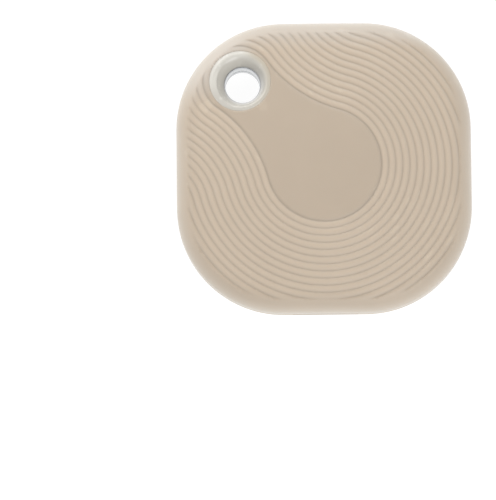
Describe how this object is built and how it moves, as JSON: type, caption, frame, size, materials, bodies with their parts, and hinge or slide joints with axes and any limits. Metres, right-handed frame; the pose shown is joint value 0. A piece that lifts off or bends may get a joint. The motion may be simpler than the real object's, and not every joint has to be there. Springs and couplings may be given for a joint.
{
  "type": "bluetooth tracker tag",
  "caption": "Rounded-square bluetooth tracker fob with a soft ribbed face, round press area, lined key-ring hole, removable rear cover and coin cell.",
  "frame": {"origin": "on the rear face, at the centre of the rounded-square outline", "axes": "+Z out of the ribbed face, +Y up and +X right as seen looking at the face; the key-ring hole is at -X, +Y"},
  "size_m": [0.036, 0.0356, 0.007],
  "materials": {
    "soft_skin": "matte, soft touch",
    "collar_gloss": "polished",
    "sleeve_steel": "drawn",
    "shell_plastic": "moulded",
    "cover_plastic": "fine spark texture",
    "seal_rubber": "matte",
    "foam": "open cell",
    "frame_plastic": "moulded",
    "screw_steel": "zinc plated",
    "board_laminate": "solder mask",
    "chip_epoxy": "moulded epoxy",
    "plated_can": "nickel plated",
    "ceramic_pale": "fired ceramic",
    "ceramic_tan": "fired ceramic",
    "ceramic_grey": "fired ceramic",
    "copper": "enamelled wire",
    "gold_contact": "gold plated",
    "cell_steel": "nickel plated",
    "cell_paste": "pressed powder"
  },
  "bodies": {
    "housing": {"battery_contact_negative": "gold_contact", "battery_contact_positive": "gold_contact", "buzzer_case": "chip_epoxy", "buzzer_coil": "copper", "buzzer_core": "screw_steel", "buzzer_diaphragm": "plated_can", "capacitors": "ceramic_tan", "chip_antenna": "ceramic_pale", "circuit_board": "board_laminate", "crystals": "plated_can", "eyelet_collar": "collar_gloss", "eyelet_seal": "seal_rubber", "eyelet_sleeve": "sleeve_steel", "face_skin": "soft_skin", "frame_screws": "screw_steel", "front_shell": "shell_plastic", "inductors": "ceramic_grey", "inner_frame": "frame_plastic", "resistors": "chip_epoxy", "rf_soc": "chip_epoxy", "tact_switch_base": "chip_epoxy", "tact_switch_cover": "plated_can", "tact_switch_dome": "plated_can"},
    "button": {"button_pad": "soft_skin", "button_plunger": "shell_plastic"},
    "switch_stem": {"tact_switch_stem": "seal_rubber"},
    "cover_body": {"rear_cover": "cover_plastic", "cover_seal": "seal_rubber", "cell_foam_pad": "foam"},
    "coin_cell": {"cell_can": "cell_steel", "cell_cap": "cell_steel", "cell_gasket": "frame_plastic", "cell_core": "cell_paste"}
  },
  "joints": [
    {"name": "housing_lift", "type": "slide", "parent": "cover_body", "child": "housing", "axis": [0, 0, 1], "range_m": [0, 0.024]},
    {"name": "cell_lift", "type": "slide", "parent": "cover_body", "child": "coin_cell", "axis": [0, 0, 1], "range_m": [0, 0.012]},
    {"name": "button_press", "type": "slide", "parent": "housing", "child": "button", "axis": [0, 0, -1], "range_m": [0, 0.0002], "stiffness_N_per_m": 40, "springref_m": -0.002},
    {"name": "stem_travel", "type": "slide", "parent": "housing", "child": "switch_stem", "axis": [0, 0, -1], "range_m": [0, 0.0002], "deforming": ["tact_switch_dome"]}
  ],
  "couplings": [
    {"joint": "stem_travel", "follows": "button_press", "ratio": 1},
    {"joint": "cell_lift", "follows": "housing_lift", "ratio": 0.5}
  ]
}
